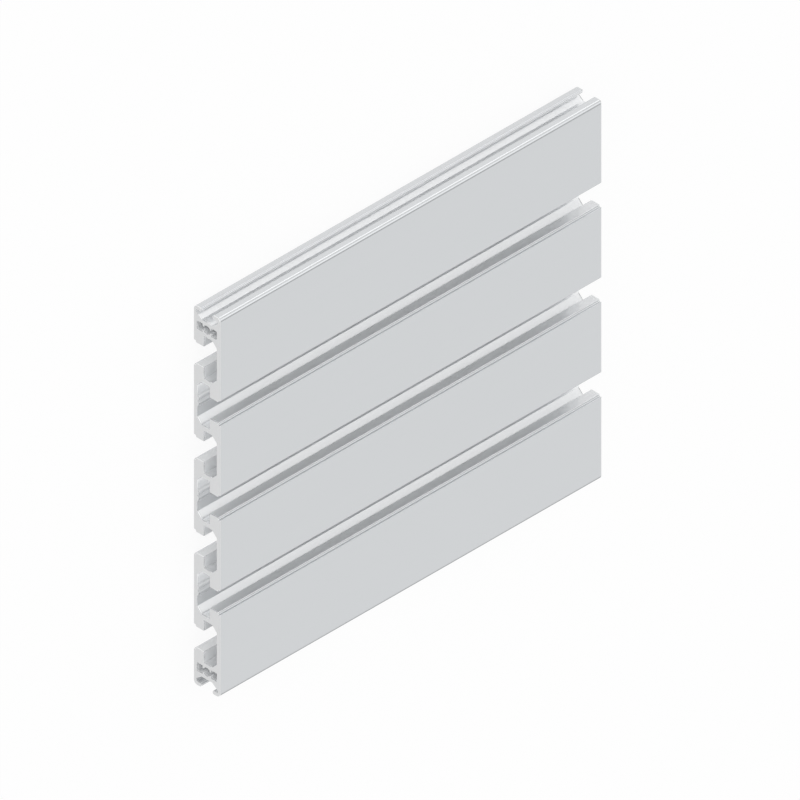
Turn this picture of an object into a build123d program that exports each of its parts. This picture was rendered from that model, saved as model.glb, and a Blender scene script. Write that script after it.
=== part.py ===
import os

from build123d import *

# Cut length and outer section, lying on its back with the front face up
length = 232.0
thickness = 16.0
corner_radius = 2.0
die_radius = 0.3

# Rows of T-slots, staggered by half a pitch between the two faces
slot_pitch = 50.0
front_slots = 3
back_slots = front_slots + 1
width = slot_pitch * back_slots

# T-slot, with a shallow recess in its lips for a cover strip
slot_opening = 11.0
lip_thickness = 6.2
recess_side = 1.0
recess_depth = 1.25
web = 2.6
chamber_width = slot_pitch / 2 - web
chamber_chamfer = 2.8
floor_wall = 2.0
slot_depth = thickness - floor_wall

# Drill guide on the floor of each front slot
rib_height = 0.9
rib_base = 6.8
rib_top = 3.8
notch_width = 1.8
notch_depth = 0.7

# Undercut groove along both long edges
edge_opening = 6.8
edge_lip = 2.0
edge_side_wall = 1.55
edge_straight = 3.15
edge_slope = 3.2
edge_depth = 5.7

# Screw channel in the metal between each edge groove and the nearest slot
channel_web = 1.85
channel_side_wall = 1.95
tooth_gap = 1.5
tooth_tip = 0.4
pocket_round = 0.4

# Cuts run this far past the face they open through
overrun = 1.0

# T-slot drawn with its mouth on the x axis and the metal below
half_mouth = slot_opening / 2
half_chamber = chamber_width / 2
with BuildSketch() as t_slot:
    with BuildLine():
        Polyline(
            (0, overrun),
            (half_mouth + recess_side, overrun),
            (half_mouth + recess_side, -recess_depth),
            (half_mouth, -recess_depth),
            (half_mouth, -lip_thickness),
            (half_chamber, -lip_thickness),
            (half_chamber, chamber_chamfer - slot_depth),
            (half_chamber - chamber_chamfer, -slot_depth),
            (0, -slot_depth),
        )
        mirror(about=Plane.YZ)
    make_face()

# Low rib with a V notch that centres a drill, drawn on the slot floor
with BuildSketch() as drill_guide:
    with BuildLine():
        Polyline(
            (0, 0),
            (rib_base / 2, 0),
            (rib_top / 2, rib_height),
            (notch_width / 2, rib_height),
            (0, rib_height - notch_depth),
        )
        mirror(about=Plane.YZ)
    make_face()

# Edge groove with full-round lip tips, mouth on the x axis and the metal below
tip_radius = edge_lip / 2
tip_start = edge_opening / 2 + tip_radius
half_groove = thickness / 2 - edge_side_wall
with BuildSketch() as edge_groove:
    with BuildLine():
        Polyline((0, overrun), (tip_start, overrun), (tip_start, 0))
        ThreePointArc((tip_start, 0), (edge_opening / 2, -tip_radius), (tip_start, -edge_lip))
        Polyline(
            (tip_start, -edge_lip),
            (half_groove, -edge_lip),
            (half_groove, -edge_straight),
            (half_groove - edge_slope, -edge_depth),
            (0, -edge_depth),
        )
        mirror(about=Plane.YZ)
    make_face()

# Round screw channel between four teeth, with a hollow pocket on either side
channel_bore = (slot_pitch - chamber_width) / 2 - edge_depth - 2 * channel_web
channel_width = thickness - 2 * channel_side_wall
pocket_width = (channel_width - channel_bore) / 2 - tooth_tip
pocket_spacing = channel_width - pocket_width
with BuildSketch() as screw_channel:
    with GridLocations(pocket_spacing, 0, 2, 1):
        RectangleRounded(pocket_width, channel_bore, pocket_round)
    Rectangle(pocket_spacing, tooth_gap)
    Circle(channel_bore / 2)

# The whole section, pushed through the die as one piece
channel_depth = edge_depth + channel_web + channel_bore / 2
with BuildPart() as slotted_profile:
    with BuildSketch(Plane.YZ) as section:
        with Locations((0, thickness / 2)):
            RectangleRounded(width, thickness, corner_radius)
        with Locations((0, thickness)):
            with GridLocations(slot_pitch, 0, front_slots, 1):
                add(t_slot.sketch, mode=Mode.SUBTRACT)
        with GridLocations(slot_pitch, 0, back_slots, 1):
            add(t_slot.sketch, rotation=180, mode=Mode.SUBTRACT)
        with Locations((0, floor_wall)):
            with GridLocations(slot_pitch, 0, front_slots, 1):
                add(drill_guide.sketch)
        for side in (-1, 1):
            with Locations((side * width / 2, thickness / 2)):
                add(edge_groove.sketch, rotation=-90 * side, mode=Mode.SUBTRACT)
        # Corners that are still sharp take the small radius of the die
        round_ends = section.edges().filter_by(GeomType.CIRCLE).vertices()
        fillet(section.vertices() - round_ends, die_radius)
        for side in (-1, 1):
            with Locations((side * (width / 2 - channel_depth), thickness / 2)):
                add(screw_channel.sketch, rotation=90, mode=Mode.SUBTRACT)
    extrude(amount=length / 2, both=True)

os.makedirs("parts", exist_ok=True)
slotted_profile.part.label = "slotted_profile"
export_step(slotted_profile.part, "parts/slotted_profile.step")
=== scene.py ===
# %% [markdown]
# A length of slotted aluminium profile, seen from above its left end.
#
# The real object is one piece: hot aluminium is pushed through a die, which gives it the section,
# and a saw cuts it to length. The CAD model already holds that section at its real size.
# This lesson takes the section from the CAD model, pushes it out again with Geometry Nodes so that the
# sawn ends can get their broken edges, and then spends its effort on the metal and the light.

# %% Load the CAD frame
import math

import bmesh
import bpy
from mathutils import Matrix, Vector


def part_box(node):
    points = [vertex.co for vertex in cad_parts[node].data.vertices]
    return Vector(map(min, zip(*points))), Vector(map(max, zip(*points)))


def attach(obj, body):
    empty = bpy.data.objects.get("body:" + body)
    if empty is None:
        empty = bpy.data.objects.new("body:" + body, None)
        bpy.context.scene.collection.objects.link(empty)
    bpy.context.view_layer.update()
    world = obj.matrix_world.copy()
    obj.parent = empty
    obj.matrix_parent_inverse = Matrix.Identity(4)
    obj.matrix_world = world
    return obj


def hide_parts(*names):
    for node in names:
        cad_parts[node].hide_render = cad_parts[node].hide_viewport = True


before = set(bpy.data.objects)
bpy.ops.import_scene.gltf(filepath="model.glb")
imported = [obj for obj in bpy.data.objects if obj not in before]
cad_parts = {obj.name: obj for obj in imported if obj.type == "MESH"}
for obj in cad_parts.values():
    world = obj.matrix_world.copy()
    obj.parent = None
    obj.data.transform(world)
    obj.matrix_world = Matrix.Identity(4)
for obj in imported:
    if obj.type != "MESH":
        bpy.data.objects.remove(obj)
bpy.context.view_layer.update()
NODE = "slotted_profile"
MM = 0.001
low, high = (Vector(corner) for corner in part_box(NODE))
middle = (low + high) / 2
print("profile in millimetres:", [round(side / MM, 2) for side in high - low])

# %% [markdown]
# A node tree is easier to read as arithmetic than as a list of links.
# Wire stands for one output of a node. Adding or multiplying Wires adds a Math node to their tree, and the
# reflected forms let a plain number come first, as in 1 - mask.

# %% A node's output that takes part in sums
class Wire:
    """One output of a node."""

    def __init__(self, nodes, node, output=0):
        self.nodes = nodes
        self.node = node
        self.output = output

    def __getitem__(self, output):
        return Wire(self.nodes, self.node, output)

    @property
    def socket(self):
        return self.node.outputs[self.output]

    def maths(self, operation, first, second):
        return self.nodes.add("ShaderNodeMath", {"operation": operation}, {0: first, 1: second})

    def __add__(self, other):
        return self.maths("ADD", self, other)

    def __radd__(self, other):
        return self.maths("ADD", other, self)

    def __sub__(self, other):
        return self.maths("SUBTRACT", self, other)

    def __rsub__(self, other):
        return self.maths("SUBTRACT", other, self)

    def __mul__(self, other):
        return self.maths("MULTIPLY", self, other)

    def __rmul__(self, other):
        return self.maths("MULTIPLY", other, self)

    def __truediv__(self, other):
        return self.maths("DIVIDE", self, other)

    def __rtruediv__(self, other):
        return self.maths("DIVIDE", other, self)

    def __gt__(self, other):
        return self.maths("GREATER_THAN", self, other)


# %% [markdown]
# Nodes.add makes every node: its type, then its settings, then the values or Wires of its inputs.
# Two settings are lists, so they get their own lines: the stops of a colour ramp and the values that a
# Capture Attribute node keeps. The same class builds the geometry tree, the materials and the world.

# %% One method that adds any node
class Nodes:
    """Adds nodes to one tree and links their inputs."""

    def __init__(self, tree):
        self.tree = tree

    def add(self, kind, settings=None, inputs=None):
        node = self.tree.nodes.new(kind)
        for name, value in (settings or {}).items():
            if name == "stops":
                self.set_stops(node.color_ramp, value)
            elif name == "captures":
                for kind_of_value, label in value:
                    node.capture_items.new(kind_of_value, label)
            else:
                setattr(node, name, value)
        for name, value in (inputs or {}).items():
            self.feed(node.inputs[name], value if isinstance(value, list) else [value])
        return Wire(self, node)

    def feed(self, socket, values):
        for value in values:
            if isinstance(value, Wire):
                self.tree.links.new(value.socket, socket)
            else:
                socket.default_value = value

    def set_stops(self, ramp, stops):
        ramp.interpolation = "EASE"
        while len(ramp.elements) < len(stops):
            ramp.elements.new(0.5)
        for element, (position, grey) in zip(ramp.elements, stops):
            element.position = position
            element.color = (grey, grey, grey, 1.0)


def cleared_nodes(owner):
    """The empty node tree of a material or a world."""
    owner.use_nodes = True
    owner.node_tree.nodes.clear()
    return Nodes(owner.node_tree)


# %% [markdown]
# The section is the outline of the flat sawn end. It could be drawn again here from a list of sizes, but
# then two files would have to agree. The CAD mesh already has it: it is every edge with one face in the end
# plane and one face on the side walls. Each edge is turned against its direction around the end face, the
# same way for the outer edge and for the screw channels, so that all the walls pushed out from them face
# outwards.

# %% Read the section from the CAD end face
WELD = 1e-6


def section_outline(node, x_end):
    """An edges-only mesh of the end at x_end, with the profile's Y and Z laid out as X and Y."""
    solid = bmesh.new()
    solid.from_mesh(node.data)
    bmesh.ops.remove_doubles(solid, verts=solid.verts, dist=WELD)
    end_faces = [face for face in solid.faces if all(abs(v.co.x - x_end) < WELD for v in face.verts)]
    in_end = set(end_faces)
    points, following, number = [], {}, {}
    for face in end_faces:
        for corner in face.loops:
            if any(other not in in_end for other in corner.edge.link_faces):
                for vert in (corner.vert, corner.link_loop_next.vert):
                    if vert not in number:
                        number[vert] = len(points)
                        points.append((vert.co.y, vert.co.z, 0.0))
                following[number[corner.link_loop_next.vert]] = number[corner.vert]
    volume = solid.calc_volume(signed=True)
    solid.free()
    mesh = bpy.data.meshes.new("section")
    mesh.from_pydata(points, list(following.items()), [])
    return mesh, following, volume


section, following, cad_volume = section_outline(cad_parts[NODE], high.x)
print("section outline:", len(section.vertices), "points,", len(section.edges), "edges")
print("CAD volume in cubic centimetres:", round(cad_volume * 1e6, 2))

# %% [markdown]
# The outline is one long loop and two short ones, the screw channels. A walk from point to point finds them.
# Some walls are told apart by where they lie. The slots take turns between the two faces, eight half pitches
# to the width, so the half pitch nearest to a point says from which face its depth in a slot is measured.

# %% Find the loops and the depth in a slot
HALF_PITCHES = 8
half_pitch = (high.y - low.y) / HALF_PITCHES


def outline_loops(following):
    loops, left = [], set(following)
    for first in sorted(following):
        if first in left:
            loop, point = [], first
            while point in left:
                left.remove(point)
                loop.append(point)
                point = following[point]
            loops.append(loop)
    return sorted(loops, key=len, reverse=True)


def slot_depth(y, z):
    in_front_slot = round(y / half_pitch) % 2 == 0
    return high.z - z if in_front_slot else z - low.z


loops = outline_loops(following)
print("points in each loop:", [len(loop) for loop in loops])

# %% [markdown]
# In the photograph the open faces are an even grey, while the walls inside the slots are brighter and look a
# little chalky. So each point of the section gets a level that says how far inside it lies: 0 on the open
# faces, 1 on the lips, 2 in the chambers behind them, and 3 right behind a lip and in the closed screw
# channels. The material turns the levels into colour and gloss. The lighter colour of the higher levels is
# painted light: it brightens walls that lie in the shade of the slots, and a little of it lies on the long
# edges.
#
# The levels in between were set by comparing renders with the photograph. They make the lower edge groove and
# the ribs on the slot floors darker than the walls around them, which is painted shade. What causes that on
# the real profile, its finish or the light on it, can't be told from one picture.

# %% Levels of the walls
ON_FACE = 0.0
LONG_EDGE = 0.3
# The levels of the ribs and of the lower edge groove stay below those of the walls around them, which paints
# these walls darker: painted shade.
RIB_SHADE = 0.6
LOWER_GROOVE_SHADE = 0.8
ON_LIP = 1.0
IN_CHAMBER = 2.0
IN_GROOVE = 2.35
CLOSED_IN = 3.0
OPEN_FACE = 0.6 * MM
TIP_START = 3.65 * MM
GROOVE_LIP = 1.9 * MM
GROOVE_DEPTH = 6.0 * MM
LIP_START = 2.0 * MM
SLOT_LIP = 6.1 * MM
BEHIND_LIP = 6.6 * MM
RIB_TOP = 13.0 * MM
RIB_FOOT = 13.9 * MM
RIB_HALF = 4.0 * MM


# The lower edge groove gets a lower level than the upper one: painted shade.
def groove_level(y, from_edge):
    if y < 0:
        return LOWER_GROOVE_SHADE
    return ON_LIP if from_edge < GROOVE_LIP else IN_GROOVE


def slot_level(y, depth):
    if depth < SLOT_LIP:
        return min(ON_LIP, (depth - OPEN_FACE) / (LIP_START - OPEN_FACE))
    if depth < BEHIND_LIP:
        return CLOSED_IN
    # Ribs get a lower level than the chamber walls around them: painted shade.
    from_middle = abs(y - round(y / half_pitch) * half_pitch)
    return RIB_SHADE if RIB_TOP < depth < RIB_FOOT and from_middle < RIB_HALF else IN_CHAMBER


def wall_level(y, z):
    from_edge = high.y - abs(y)
    from_face = min(z - low.z, high.z - z)
    if from_edge < OPEN_FACE:
        return LONG_EDGE if from_face < TIP_START else ON_FACE
    if from_face < OPEN_FACE:
        return ON_FACE
    if from_edge < GROOVE_DEPTH:
        return groove_level(y, from_edge)
    return slot_level(y, slot_depth(y, z))


print("level on the front face:", wall_level(half_pitch, high.z))
print("level on the rib of the middle slot:", wall_level(0.0, high.z - (RIB_TOP + RIB_FOOT) / 2))

# %% [markdown]
# The levels are kept in an attribute called inside, and the sweep will carry it along onto the walls that it
# makes. A second attribute, unfiled, marks where the file does not reach when the sawn edges are broken: the
# screw channels and the floors of the slots. There the broken edge is only half as wide and keeps the look of
# the wall.

# %% Mark the points of the section
FLOOR_SKIN = 1.5 * MM


def out_of_reach(y, z):
    in_slot = high.y - abs(y) > GROOVE_DEPTH and slot_depth(y, z) > RIB_TOP
    return in_slot and min(z - low.z, high.z - z) > FLOOR_SKIN


# The inside levels paint light into the slots and painted shade onto the ribs and the lower edge groove.
inside = section.attributes.new("inside", "FLOAT", "POINT")
unfiled = section.attributes.new("unfiled", "FLOAT", "POINT")
for loop in loops:
    in_channel = loop is not loops[0]
    for point in loop:
        y, z = section.vertices[point].co[:2]
        inside.data[point].value = CLOSED_IN if in_channel else wall_level(y, z)
        unfiled.data[point].value = 1.0 if in_channel or out_of_reach(y, z) else 0.0
print("lowest and highest level:", min(p.value for p in inside.data), max(p.value for p in inside.data))
print("points that the file leaves:", sum(p.value > 0 for p in unfiled.data))

# %% [markdown]
# An extrusion is a shape that follows a rule, so a node tree can make it: the outline swept along a line,
# closed with two flat ends. After the saw, a workshop breaks the sharp edges of the cut, because they are
# sharp enough to cut a hand. A Bevel modifier would do that too, but here the walls know which way is out:
# the last ring of points is simply pulled inwards along the wall's own normal by the width of the edge.
#
# The walls are pushed out in three steps, with a short ring at each end. Smooth shading shares a normal
# between faces that meet, and the ring keeps the broken edges from bending the light on the long corners.
#
# The tree works with the section lying in XY and the sweep along Z, because Fill Curve only fills in XY,
# and turns the result at the end. It marks the faces that the saw and the file made in attributes called
# sawn and filed, so that the material can tell them from the faces that came out of the die.

# %% Steps of the tree that pushes the section out
RINGS_AND_EDGES = 4
UNFILED_SHARE = 0.5
QUARTER_TURN = math.pi / 2


def along(n, distance):
    return n.add("ShaderNodeCombineXYZ", inputs={"Z": distance})


def marked(n, geometry, name, value):
    return n.add("GeometryNodeStoreNamedAttribute", {"data_type": "FLOAT", "domain": "FACE"},
                 {"Geometry": geometry, "Name": name, "Value": value})


def side_walls(n, outline, length, run):
    """Long walls between two short rings. Each ring and each broken edge takes one run of the length."""
    walls = n.add("GeometryNodeTransform",
                  inputs={"Geometry": outline, "Translation": along(n, run - length * 0.5)})
    front_edges = True
    for distance in (run, length - run * RINGS_AND_EDGES, run):
        walls = n.add("GeometryNodeExtrudeMesh", {"mode": "EDGES"},
                      {"Mesh": walls, "Selection": front_edges,
                       "Offset": along(n, distance), "Offset Scale": 1.0})
        front_edges = walls["Top"]
    return walls


def broken_edges(n, walls, height, width, run):
    """The walls with a slanted strip at either end, and the selection of its outer rim."""
    outwards = n.add("GeometryNodeCaptureAttribute", {"captures": [("VECTOR", "outwards")]},
                     {"Geometry": walls, "outwards": n.add("GeometryNodeInputNormal")})
    rim = n.add("FunctionNodeCompare", {"data_type": "INT", "operation": "EQUAL"},
                {2: n.add("GeometryNodeInputMeshEdgeNeighbors"), 3: 1})
    side = (height > 0) * 2 - 1
    ends = n.add("GeometryNodeExtrudeMesh", {"mode": "EDGES"},
                 {"Mesh": outwards, "Selection": rim, "Offset": along(n, side * run), "Offset Scale": 1.0})
    unfiled = n.add("GeometryNodeInputNamedAttribute", {"data_type": "FLOAT"}, {"Name": "unfiled"})
    inwards = n.add("ShaderNodeVectorMath", {"operation": "SCALE"},
                    {0: outwards["outwards"], "Scale": width * (unfiled * (1 - UNFILED_SHARE) - 1)})
    body = n.add("GeometryNodeSetPosition",
                 inputs={"Geometry": ends, "Selection": ends["Top"], "Offset": inwards})
    return marked(n, body, "filed", ends["Side"] * (1 - unfiled)), ends["Top"]


def sawn_ends(n, body, rim, height, length):
    """Two flat faces that close the swept body."""
    top_rim = n.add("FunctionNodeBooleanMath", {"operation": "AND"}, {0: rim, 1: height > 0})
    outline = n.add("GeometryNodeMeshToCurve", inputs={"Mesh": body, "Selection": top_rim})
    flat = marked(n, n.add("GeometryNodeFillCurve", inputs={"Curve": outline}), "sawn", 1.0)
    flipped = n.add("GeometryNodeFlipFaces", inputs={"Mesh": flat})
    far = n.add("GeometryNodeTransform", inputs={"Geometry": flat, "Translation": along(n, length * 0.5)})
    near = n.add("GeometryNodeTransform", inputs={"Geometry": flipped, "Translation": along(n, length * -0.5)})
    return [far, near]


# %% [markdown]
# The tree itself names its inputs, calls the steps and welds their results into one closed skin. It ends by
# making everything real and giving it the metal, because the export keeps neither instances nor live trees.

# %% The tree that pushes the section out
SOCKETS = {"Section": "NodeSocketGeometry", "Length": "NodeSocketFloat", "Edge Width": "NodeSocketFloat",
           "Edge Run": "NodeSocketFloat", "Metal": "NodeSocketMaterial"}


def push_tree():
    tree = bpy.data.node_groups.new("push_section", "GeometryNodeTree")
    for name, kind in SOCKETS.items():
        tree.interface.new_socket(name, in_out="INPUT", socket_type=kind)
    tree.interface.new_socket("Profile", in_out="OUTPUT", socket_type="NodeSocketGeometry")
    n = Nodes(tree)
    given = n.add("NodeGroupInput")
    length, width, run = given["Length"], given["Edge Width"], given["Edge Run"]
    height = n.add("ShaderNodeSeparateXYZ", inputs={"Vector": n.add("GeometryNodeInputPosition")})["Z"]
    walls = side_walls(n, given["Section"], length, run)
    body, rim = broken_edges(n, walls, height, width, run)
    skin = n.add("GeometryNodeJoinGeometry",
                 inputs={"Geometry": [body] + sawn_ends(n, body, rim, height, length)})
    skin = n.add("GeometryNodeMergeByDistance", inputs={"Geometry": skin, "Distance": WELD})
    turned = n.add("GeometryNodeTransform",
                   inputs={"Geometry": skin, "Rotation": (QUARTER_TURN, 0, QUARTER_TURN)})
    real = n.add("GeometryNodeRealizeInstances", inputs={"Geometry": turned})
    metal = n.add("GeometryNodeSetMaterial", inputs={"Geometry": real, "Material": given["Metal"]})
    n.add("NodeGroupOutput", inputs={"Profile": metal})
    return tree


push_section = push_tree()
print("node tree:", push_section.name, "with", len(push_section.nodes), "nodes")

# %% [markdown]
# Natural anodised aluminium is a satin grey: the bath etches the metal and leaves a clear, hard skin on it.
# Two things show at arm's length. The die leaves faint lines that run the whole length of every face, and
# where the saw went through, the bare metal is brighter, with the shallow arcs of the blade across it.
#
# Both are patterns in the profile's own coordinates. Noise squeezed across the section and stretched along X
# gives the die lines, and noise along the distance from the saw's axle gives the arcs. They change colour and
# roughness by a few percent only, because a new profile looks even.

# %% Patterns of the die, the bath and the saw
DIE_LINE = 0.35 * MM
DIE_BAND = 4.0 * MM
DIE_LINE_SHARE = 0.6
DIE_DRIFT = 6.0
ETCH_GRAIN = 0.12 * MM
SAW_LINE = 0.30 * MM
SAW_AXLE = (40 * MM, -190 * MM)
FINE_DETAIL = 2.0
SAW_DETAIL = 3.0


def noise(n, vector, detail=FINE_DETAIL):
    return n.add("ShaderNodeTexNoise", {"noise_dimensions": "3D"},
                 {"Vector": vector, "Scale": 1.0, "Detail": detail})["Fac"]


def die_lines(n, axes, width):
    place = {"X": axes["X"] * DIE_DRIFT, "Y": axes["Y"] * (1 / width), "Z": axes["Z"] * (1 / width)}
    return noise(n, n.add("ShaderNodeCombineXYZ", inputs=place))


def die_marks(n, axes):
    return die_lines(n, axes, DIE_LINE) * DIE_LINE_SHARE + die_lines(n, axes, DIE_BAND) * (1 - DIE_LINE_SHARE)


def etched_grain(n, place):
    return noise(n, n.add("ShaderNodeVectorMath", {"operation": "SCALE"}, {0: place, "Scale": 1 / ETCH_GRAIN}))


def saw_arcs(n, axes):
    from_axle = n.add("ShaderNodeCombineXYZ",
                      inputs={"X": axes["Y"] - SAW_AXLE[0], "Y": axes["Z"] - SAW_AXLE[1]})
    radius = n.add("ShaderNodeVectorMath", {"operation": "LENGTH"}, {0: from_axle})["Value"]
    return noise(n, n.add("ShaderNodeCombineXYZ", inputs={"X": radius * (1 / SAW_LINE)}), SAW_DETAIL)


print("lines of the die in millimetres:", DIE_LINE / MM, "and", DIE_BAND / MM)

# %% [markdown]
# The levels of the walls become colour and chalk here. The lighter colours of the lips and chambers are
# painted
# light: they brighten walls that lie in the shade of the slots. Chalk is the share of the surface that
# scatters light like paint instead of mirroring it, so it lowers Metallic. The deep walls need some of it: as
# pure mirrors they show mostly each other, and come out darker than in the photograph. The sawn and filed
# faces are bare metal and have no chalk. The filed colour is partly that bright bare metal and partly a
# painted highlight, the thin lines of light along the broken edges of the cut.

# %% The metal
SKIN_DARK = (0.615, 0.630, 0.645, 1.0)
SKIN_LIGHT = (0.645, 0.660, 0.672, 1.0)
# The lip and chamber colours are painted light: lighter than the skin, they brighten walls in the shade of the
# slots.
LIP_PAINTED_LIGHT = (0.85, 0.86, 0.87, 1.0)
CHAMBER_PAINTED_LIGHT = (0.93, 0.94, 0.95, 1.0)
SAWN_DARK = (0.68, 0.685, 0.69, 1.0)
SAWN_LIGHT = (0.74, 0.745, 0.75, 1.0)
# The filed colour is bare filed metal and a painted highlight along the broken edges of the cut.
FILED_METAL_AND_HIGHLIGHT = (0.84, 0.845, 0.85, 1.0)
LIP_CHALK = 0.60
CHAMBER_CHALK = 0.28
CHANNEL_CHALK = 0.85
SKIN_ROUGH = 0.10
DIE_ROUGH = 0.06
GRAIN_ROUGH = 0.04
SAWN_ROUGH = 0.30
ARC_ROUGH = 0.10
GRAIN_SHARE = 0.3
BUMP_STRENGTH = 0.15
BUMP_HEIGHT = 0.02 * MM


def blend(n, share, first, second):
    return n.add("ShaderNodeMix", {"data_type": "RGBA"}, {0: share, 6: first, 7: second})[2]


def reaches(n, level, step):
    """1 at the given level and above, falling to 0 one level below it."""
    return n.add("ShaderNodeMath", {"operation": "ADD", "use_clamp": True}, {0: level, 1: 1.0 - step})


def anodised_aluminium():
    metal = bpy.data.materials.new("satin_anodised")
    n = cleared_nodes(metal)
    place = n.add("ShaderNodeTexCoord")["Object"]
    axes = n.add("ShaderNodeSeparateXYZ", inputs={"Vector": place})
    sawn, filed, level = (n.add("ShaderNodeAttribute", {"attribute_name": name})["Fac"]
                          for name in ("sawn", "filed", "inside"))
    lip, chamber, closed = (reaches(n, level, step) for step in (ON_LIP, IN_CHAMBER, CLOSED_IN))
    die, grain, arcs = die_marks(n, axes), etched_grain(n, place), saw_arcs(n, axes)

    colour = blend(n, die, SKIN_DARK, SKIN_LIGHT)
    # This blend and the next paint light into the lips and chambers.
    colour = blend(n, lip, colour, LIP_PAINTED_LIGHT)
    colour = blend(n, chamber, colour, CHAMBER_PAINTED_LIGHT)
    colour = blend(n, sawn, colour, blend(n, arcs, SAWN_DARK, SAWN_LIGHT))
    # Bare metal with a painted highlight on the filed edges.
    colour = blend(n, filed, colour, FILED_METAL_AND_HIGHLIGHT)

    chalk = lip * LIP_CHALK + chamber * (CHAMBER_CHALK - LIP_CHALK) + closed * (CHANNEL_CHALK - CHAMBER_CHALK)
    from_die = (1 - sawn) * (1 - filed)
    skin_rough = die * DIE_ROUGH + grain * GRAIN_ROUGH + SKIN_ROUGH
    sawn_rough = arcs * ARC_ROUGH + SAWN_ROUGH
    relief = (die * (1 - GRAIN_SHARE) + grain * GRAIN_SHARE) * (1 - sawn) + arcs * sawn
    bump = n.add("ShaderNodeBump",
                 inputs={"Height": relief, "Strength": BUMP_STRENGTH, "Distance": BUMP_HEIGHT})
    surface = n.add("ShaderNodeBsdfPrincipled", inputs={
        "Base Color": colour, "Metallic": 1 - chalk * from_die,
        "Roughness": skin_rough * (1 - sawn) + sawn_rough * sawn, "Normal": bump})
    n.add("ShaderNodeOutputMaterial", inputs={"Surface": surface})
    return metal


aluminium = anodised_aluminium()
print("material:", aluminium.name, "with", len(aluminium.node_tree.nodes), "nodes")

# %% [markdown]
# Now the tree gets its sizes. A modifier's inputs are set by the identifier of each socket, before the object
# is looked at for the first time. The evaluated result becomes a plain mesh, because a live modifier would be
# dropped when the model is exported. The volume of the new mesh is a good test of the whole tree: a face that
# points the wrong way or a missing end would show in it at once.

# %% Push the profile out
EDGE_WIDTH = 0.12 * MM
EDGE_RUN = 0.40 * MM


def pushed_profile(section_mesh):
    maker = bpy.data.objects.new("profile_maker", section_mesh)
    bpy.context.scene.collection.objects.link(maker)
    push = maker.modifiers.new("push", "NODES")
    push.node_group = push_section
    given = {"Length": high.x - low.x, "Edge Width": EDGE_WIDTH, "Edge Run": EDGE_RUN, "Metal": aluminium}
    for socket in push_section.interface.items_tree:
        if socket.in_out == "INPUT" and socket.name in given:
            push[socket.identifier] = given[socket.name]
    evaluated = maker.evaluated_get(bpy.context.evaluated_depsgraph_get())
    mesh = bpy.data.meshes.new_from_object(evaluated)
    bpy.data.objects.remove(maker)
    mesh.name = "extruded_profile"
    return mesh


profile_mesh = pushed_profile(section)
profile = bpy.data.objects.new("extruded_profile", profile_mesh)
bpy.context.scene.collection.objects.link(profile)
check = bmesh.new()
check.from_mesh(profile_mesh)
open_edges = sum(1 for edge in check.edges if len(edge.link_faces) != 2)
print("profile:", len(profile_mesh.polygons), "faces,", open_edges, "open edges, volume",
      round(check.calc_volume(signed=True) * 1e6, 2), "cubic centimetres")
check.free()

# %% [markdown]
# Rounded corners should look round and flat faces should stay flat. If every face were smooth, a wide land
# would take part of its shading from the small radius beside it and look bulged. So only the narrow
# strips that make up the radii are smooth, and the flat walls and the sawn and filed faces are not.

# %% Smooth the radii only
FLAT_WALL = 0.35 * MM
TURNED_TO_END = 0.1


def shade_radii(mesh):
    smooth = 0
    for face in mesh.polygons:
        narrow = min((mesh.vertices[a].co - mesh.vertices[b].co).length for a, b in face.edge_keys)
        face.use_smooth = narrow < FLAT_WALL and abs(face.normal.x) < TURNED_TO_END
        smooth += face.use_smooth
    return smooth


print("smooth strips:", shade_radii(profile_mesh), "of", len(profile_mesh.polygons))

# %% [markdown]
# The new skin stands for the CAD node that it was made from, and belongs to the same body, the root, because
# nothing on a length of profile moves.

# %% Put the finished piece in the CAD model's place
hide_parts(NODE)
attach(profile, "root")
print("profile rides on root and stands for", NODE)

# %% [markdown]
# The photograph shows the profile on pure white, so the floor is white to the camera and to the metal that
# mirrors it. Light Path tells which rays those are: for them the floor mostly glows at strength 1, which is
# white, and a smaller share of ordinary matt paint keeps the soft shadow under the profile. For every other
# ray the floor is plain pale paint.

# %% Floor
FLOOR_SIDE = 8.0
FLOOR_GAP = 0.05 * MM
FLOOR_PAINT = (0.95, 0.95, 0.95, 1.0)
WHITE = (1.0, 1.0, 1.0, 1.0)
GLOW_SHARE = 0.91


def floor_material():
    paint = bpy.data.materials.new("white_floor")
    n = cleared_nodes(paint)
    ray = n.add("ShaderNodeLightPath")
    seen = ray["Is Camera Ray"] + ray["Is Glossy Ray"] + ray["Is Transmission Ray"]
    matt = n.add("ShaderNodeBsdfDiffuse", inputs={"Color": FLOOR_PAINT})
    glow = n.add("ShaderNodeEmission", inputs={"Color": WHITE, "Strength": 1.0})
    both = n.add("ShaderNodeMixShader", inputs={0: (seen > 0) * GLOW_SHARE, 1: matt, 2: glow})
    n.add("ShaderNodeOutputMaterial", inputs={"Surface": both})
    return paint


def floor_plane():
    half = FLOOR_SIDE / 2
    mesh = bpy.data.meshes.new("floor")
    corners = [(-half, -half), (half, -half), (half, half), (-half, half)]
    mesh.from_pydata([(cx, cy, low.z - FLOOR_GAP) for cx, cy in corners], [], [(0, 1, 2, 3)])
    mesh.materials.append(floor_material())
    floor = bpy.data.objects.new("floor", mesh)
    bpy.context.scene.collection.objects.link(floor)
    return floor


print("floor:", floor_plane().name, FLOOR_SIDE, "metres square")

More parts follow.
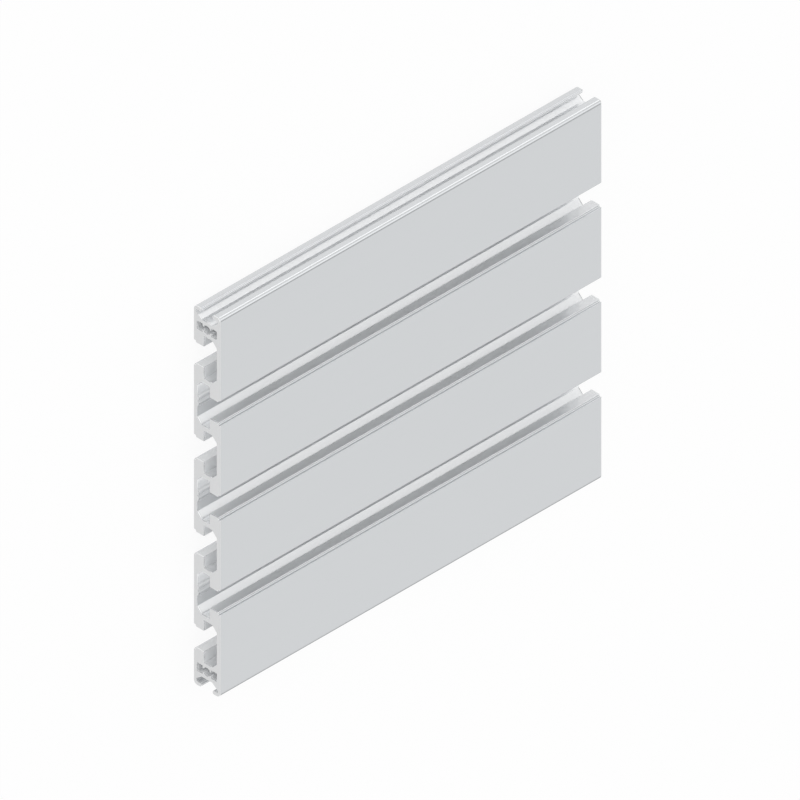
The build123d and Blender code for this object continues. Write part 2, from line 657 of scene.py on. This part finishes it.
# %% [markdown]
# Metal shows what is around it, so the light is a wide white room. At strength 1 a metal renders at about the
# colour that it is given. Bright strips with darker gaps between them, as in a studio, draw the thin lines
# along the rounded corners. The photograph doesn't show its lights, so the strips were set by comparing
# renders with it.
#
# The profile runs along X, so from one camera all its walls mirror directions at the same slant to X, and
# only the angle around X differs from wall to wall. The strips are therefore a list of angles and levels,
# counted from +Y towards +Z. They are kept to the narrow span of slant that the walls mirror in the
# photograph's view, so from most other sides the profile is lit by the plain white room.
#
# Two shaded patches do the same for the sawn ends. One greys the broken edges of the near end, and the other
# draws the thin dark line where the slots and the groove stop at the far end.

# %% The room
BAND_TOP = 2.0
BANDS = [(-180, 1.0), (0, 1.95), (6, 1.95), (14, 1.25), (22, 1.0), (28, 1.15), (32, 1.3),
         (35, 0.6), (40, 0.5), (45, 1.0), (54, 1.1), (64, 1.3), (76, 1.3), (90, 0.9),
         (104, 0.58), (120, 0.58), (129, 1.0), (143, 1.0), (152, 0.5), (174, 0.5), (180, 0.9)]
BAND_SPAN = (0.45, 0.53, 0.625, 0.705)
SHADES = [{"span": (-1.2, -1.1, 0.10, 0.30), "angles": (95, 115, 146, 160), "level": 0.75},
          {"span": (0.71, 0.76, 0.94, 0.98), "angles": (15, 25, 52, 62), "level": 0.30}]
FULL_TURN = 360
RAMP_MIDDLE = 0.5


def smooth_step(n, value, start, end):
    return n.add("ShaderNodeMapRange", {"interpolation_type": "SMOOTHSTEP"},
                 {"Value": value, "From Min": start, "From Max": end})


def between(n, value, start, full, still_full, end):
    return smooth_step(n, value, start, full) * (1 - smooth_step(n, value, still_full, end))


def white_room():
    room = bpy.data.worlds.new("white_room")
    n = cleared_nodes(room)
    towards = n.add("ShaderNodeSeparateXYZ", inputs={"Vector": n.add("ShaderNodeTexCoord")["Generated"]})
    around = n.add("ShaderNodeMath", {"operation": "ARCTAN2"}, {0: towards["Z"], 1: towards["Y"]})
    stops = [(degrees / FULL_TURN + RAMP_MIDDLE, level / BAND_TOP) for degrees, level in BANDS]
    bands = n.add("ShaderNodeValToRGB", {"stops": stops},
                  {"Fac": around / math.radians(FULL_TURN) + RAMP_MIDDLE})
    level = 1 + (bands * BAND_TOP - 1) * between(n, towards["X"], *BAND_SPAN)
    for shade in SHADES:
        angles = [math.radians(angle) for angle in shade["angles"]]
        patch = between(n, towards["X"], *shade["span"]) * between(n, around, *angles)
        level = level - patch * (1 - shade["level"])
    sky = n.add("ShaderNodeBackground", inputs={"Color": WHITE, "Strength": level})
    n.add("ShaderNodeOutputWorld", inputs={"Surface": sky})
    bpy.context.scene.world = room
    return room


print("room:", white_room().name, "with", len(BANDS), "stops and", len(SHADES), "shaded patches")

# %% [markdown]
# One large soft lamp hangs above the lying profile, a little to its right. It is weak, so that the metal keeps
# its colour, and gives the shadow on the floor a direction. Its power comes from the brightness of its
# surface, so it stays as bright when its size is changed.

# %% Lamp
LAMP_DIRECTION = Vector((0.35, 0.25, 0.90))
LAMP_DISTANCE = 1.1
LAMP_SIDE = 0.6
LAMP_GLOW = 0.15


def soft_lamp(name):
    """A square lamp that faces the profile. A glow of 1 would be a white surface."""
    data = bpy.data.lights.new(name, "AREA")
    data.shape = "SQUARE"
    data.size = LAMP_SIDE
    data.energy = LAMP_GLOW * math.pi * LAMP_SIDE * LAMP_SIDE
    lamp = bpy.data.objects.new(name, data)
    towards = LAMP_DIRECTION.normalized()
    lamp.location = middle + towards * LAMP_DISTANCE
    lamp.rotation_euler = towards.to_track_quat("Z", "Y").to_euler()
    bpy.context.scene.collection.objects.link(lamp)
    return lamp


print("lamp:", soft_lamp("key").name, "at", LAMP_DISTANCE, "metres")

# %% [markdown]
# The picture is a parallel projection: all long edges stay parallel. So the camera is orthographic. The
# photograph shows the profile standing on its long edge, while the stored one lies on its back, so the camera
# is rolled until the width of the profile points up in the picture. Two angles fix the view: how far the
# camera stands round to the left end, and how far it looks down past the upper edge.

# %% Camera
TURN = math.radians(44.82)
TILT = math.radians(35.264)
PICTURE_WIDTH = 0.3448
AIM_RIGHT = 0.96 * MM
AIM_UP = -3.60 * MM
STAND_OFF = 1.5

right = Vector((math.cos(TURN), 0.0, math.sin(TURN)))
back = Vector((-math.sin(TURN) * math.cos(TILT), math.sin(TILT), math.cos(TURN) * math.cos(TILT)))
up = back.cross(right)
eye = middle + right * AIM_RIGHT + up * AIM_UP + back * STAND_OFF
camera_data = bpy.data.cameras.new("camera")
camera_data.type = "ORTHO"
camera_data.ortho_scale = PICTURE_WIDTH
camera = bpy.data.objects.new("camera", camera_data)
camera.matrix_world = Matrix.Translation(eye) @ Matrix((right, up, back)).transposed().to_4x4()
bpy.context.scene.collection.objects.link(camera)
bpy.context.scene.camera = camera
bpy.context.scene.view_settings.view_transform = "Standard"
print("camera at", [round(v, 3) for v in eye])
